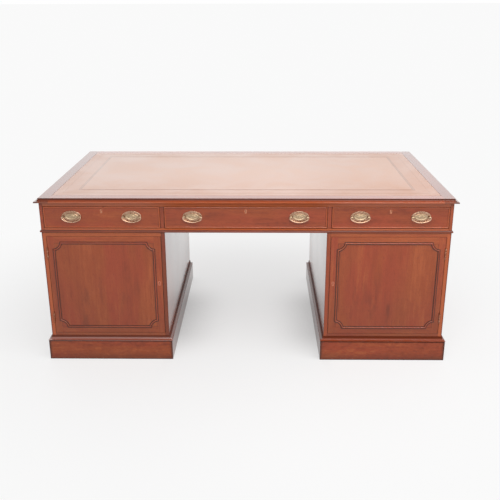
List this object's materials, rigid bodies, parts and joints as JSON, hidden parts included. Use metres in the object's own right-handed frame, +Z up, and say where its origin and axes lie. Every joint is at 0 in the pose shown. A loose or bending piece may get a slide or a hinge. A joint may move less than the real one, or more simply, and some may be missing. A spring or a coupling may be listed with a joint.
{
  "type": "partners desk",
  "caption": "Pedestal partners desk with a leather-lined moulded top, frieze drawers with oval brass drop handles and panelled cupboards on both long sides, open right through at the kneehole.",
  "frame": {"origin": "on the floor under the middle of the top", "axes": "+Z up, X along the desk's length, Y through its depth with the pictured front facing -Y"},
  "size_m": [1.825, 1.026, 0.768],
  "materials": {
    "mahogany": "polished red-brown mahogany",
    "lining_oak": "plain planed oak lining",
    "tooled_leather": "polished tan hide with tooled lines",
    "brass": "lightly aged polished brass"
  },
  "bodies": {
    "carcass": {"leather_writing_surface": "tooled_leather", "top_core_panel": "lining_oak", "top_border": "mahogany", "frieze_rails": "mahogany", "frieze_uprights": "mahogany", "drawer_runners": "lining_oak", "frieze_astragal": "mahogany", "pedestal_sides": "mahogany", "pedestal_boards": "mahogany", "cupboard_shelves": "lining_oak", "plinth_boards": "mahogany", "plinth_caps": "mahogany", "hinge_fixed_leaves": "brass", "fixing_dowels": "lining_oak"},
    "front_left_drawer": {"front_left_drawer_front": "mahogany", "front_left_drawer_box": "lining_oak", "front_left_drawer_brass": "brass"},
    "front_left_drawer_left_bail": {"front_left_drawer_left_bail": "brass"},
    "front_left_drawer_right_bail": {"front_left_drawer_right_bail": "brass"},
    "front_centre_drawer": {"front_centre_drawer_front": "mahogany", "front_centre_drawer_box": "lining_oak", "front_centre_drawer_brass": "brass"},
    "front_centre_drawer_left_bail": {"front_centre_drawer_left_bail": "brass"},
    "front_centre_drawer_right_bail": {"front_centre_drawer_right_bail": "brass"},
    "front_right_drawer": {"front_right_drawer_front": "mahogany", "front_right_drawer_box": "lining_oak", "front_right_drawer_brass": "brass"},
    "front_right_drawer_left_bail": {"front_right_drawer_left_bail": "brass"},
    "front_right_drawer_right_bail": {"front_right_drawer_right_bail": "brass"},
    "front_left_door": {"front_left_door_frame": "mahogany", "front_left_door_panel": "mahogany", "front_left_door_moulding": "mahogany", "front_left_door_brass": "brass"},
    "front_right_door": {"front_right_door_frame": "mahogany", "front_right_door_panel": "mahogany", "front_right_door_moulding": "mahogany", "front_right_door_brass": "brass"},
    "back_left_drawer": {"back_left_drawer_front": "mahogany", "back_left_drawer_box": "lining_oak", "back_left_drawer_brass": "brass"},
    "back_left_drawer_left_bail": {"back_left_drawer_left_bail": "brass"},
    "back_left_drawer_right_bail": {"back_left_drawer_right_bail": "brass"},
    "back_centre_drawer": {"back_centre_drawer_front": "mahogany", "back_centre_drawer_box": "lining_oak", "back_centre_drawer_brass": "brass"},
    "back_centre_drawer_left_bail": {"back_centre_drawer_left_bail": "brass"},
    "back_centre_drawer_right_bail": {"back_centre_drawer_right_bail": "brass"},
    "back_right_drawer": {"back_right_drawer_front": "mahogany", "back_right_drawer_box": "lining_oak", "back_right_drawer_brass": "brass"},
    "back_right_drawer_left_bail": {"back_right_drawer_left_bail": "brass"},
    "back_right_drawer_right_bail": {"back_right_drawer_right_bail": "brass"},
    "back_left_door": {"back_left_door_frame": "mahogany", "back_left_door_panel": "mahogany", "back_left_door_moulding": "mahogany", "back_left_door_brass": "brass"},
    "back_right_door": {"back_right_door_frame": "mahogany", "back_right_door_panel": "mahogany", "back_right_door_moulding": "mahogany", "back_right_door_brass": "brass"}
  },
  "joints": [
    {"name": "front_left_drawer_slide", "type": "slide", "parent": "carcass", "child": "front_left_drawer", "axis": [0, -1, 0], "range_m": [0, 0.38]},
    {"name": "front_left_drawer_left_bail_swing", "type": "hinge", "parent": "front_left_drawer", "child": "front_left_drawer_left_bail", "pos_m": [-0.757, -0.5051, 0.68635], "axis": [-1, 0, 0], "range_deg": [0, 150]},
    {"name": "front_left_drawer_right_bail_swing", "type": "hinge", "parent": "front_left_drawer", "child": "front_left_drawer_right_bail", "pos_m": [-0.495, -0.5051, 0.68635], "axis": [-1, 0, 0], "range_deg": [0, 150]},
    {"name": "front_centre_drawer_slide", "type": "slide", "parent": "carcass", "child": "front_centre_drawer", "axis": [0, -1, 0], "range_m": [0, 0.38]},
    {"name": "front_centre_drawer_left_bail_swing", "type": "hinge", "parent": "front_centre_drawer", "child": "front_centre_drawer_left_bail", "pos_m": [-0.2315, -0.5051, 0.68635], "axis": [-1, 0, 0], "range_deg": [0, 150]},
    {"name": "front_centre_drawer_right_bail_swing", "type": "hinge", "parent": "front_centre_drawer", "child": "front_centre_drawer_right_bail", "pos_m": [0.2315, -0.5051, 0.68635], "axis": [-1, 0, 0], "range_deg": [0, 150]},
    {"name": "front_right_drawer_slide", "type": "slide", "parent": "carcass", "child": "front_right_drawer", "axis": [0, -1, 0], "range_m": [0, 0.38]},
    {"name": "front_right_drawer_left_bail_swing", "type": "hinge", "parent": "front_right_drawer", "child": "front_right_drawer_left_bail", "pos_m": [0.495, -0.5051, 0.68635], "axis": [-1, 0, 0], "range_deg": [0, 150]},
    {"name": "front_right_drawer_right_bail_swing", "type": "hinge", "parent": "front_right_drawer", "child": "front_right_drawer_right_bail", "pos_m": [0.757, -0.5051, 0.68635], "axis": [-1, 0, 0], "range_deg": [0, 150]},
    {"name": "front_left_door_hinge", "type": "hinge", "parent": "carcass", "child": "front_left_door", "pos_m": [-0.87625, -0.4985, 0.3615], "axis": [0, 0, -1], "range_deg": [0, 170]},
    {"name": "front_right_door_hinge", "type": "hinge", "parent": "carcass", "child": "front_right_door", "pos_m": [0.87625, -0.4985, 0.3615], "axis": [0, 0, 1], "range_deg": [0, 170]},
    {"name": "back_left_drawer_slide", "type": "slide", "parent": "carcass", "child": "back_left_drawer", "axis": [0, 1, 0], "range_m": [0, 0.38]},
    {"name": "back_left_drawer_left_bail_swing", "type": "hinge", "parent": "back_left_drawer", "child": "back_left_drawer_left_bail", "pos_m": [-0.757, 0.5051, 0.68635], "axis": [1, 0, 0], "range_deg": [0, 150]},
    {"name": "back_left_drawer_right_bail_swing", "type": "hinge", "parent": "back_left_drawer", "child": "back_left_drawer_right_bail", "pos_m": [-0.495, 0.5051, 0.68635], "axis": [1, 0, 0], "range_deg": [0, 150]},
    {"name": "back_centre_drawer_slide", "type": "slide", "parent": "carcass", "child": "back_centre_drawer", "axis": [0, 1, 0], "range_m": [0, 0.38]},
    {"name": "back_centre_drawer_left_bail_swing", "type": "hinge", "parent": "back_centre_drawer", "child": "back_centre_drawer_left_bail", "pos_m": [-0.2315, 0.5051, 0.68635], "axis": [1, 0, 0], "range_deg": [0, 150]},
    {"name": "back_centre_drawer_right_bail_swing", "type": "hinge", "parent": "back_centre_drawer", "child": "back_centre_drawer_right_bail", "pos_m": [0.2315, 0.5051, 0.68635], "axis": [1, 0, 0], "range_deg": [0, 150]},
    {"name": "back_right_drawer_slide", "type": "slide", "parent": "carcass", "child": "back_right_drawer", "axis": [0, 1, 0], "range_m": [0, 0.38]},
    {"name": "back_right_drawer_left_bail_swing", "type": "hinge", "parent": "back_right_drawer", "child": "back_right_drawer_left_bail", "pos_m": [0.495, 0.5051, 0.68635], "axis": [1, 0, 0], "range_deg": [0, 150]},
    {"name": "back_right_drawer_right_bail_swing", "type": "hinge", "parent": "back_right_drawer", "child": "back_right_drawer_right_bail", "pos_m": [0.757, 0.5051, 0.68635], "axis": [1, 0, 0], "range_deg": [0, 150]},
    {"name": "back_left_door_hinge", "type": "hinge", "parent": "carcass", "child": "back_left_door", "pos_m": [-0.87625, 0.4985, 0.3615], "axis": [0, 0, 1], "range_deg": [0, 170]},
    {"name": "back_right_door_hinge", "type": "hinge", "parent": "carcass", "child": "back_right_door", "pos_m": [0.87625, 0.4985, 0.3615], "axis": [0, 0, -1], "range_deg": [0, 170]}
  ]
}
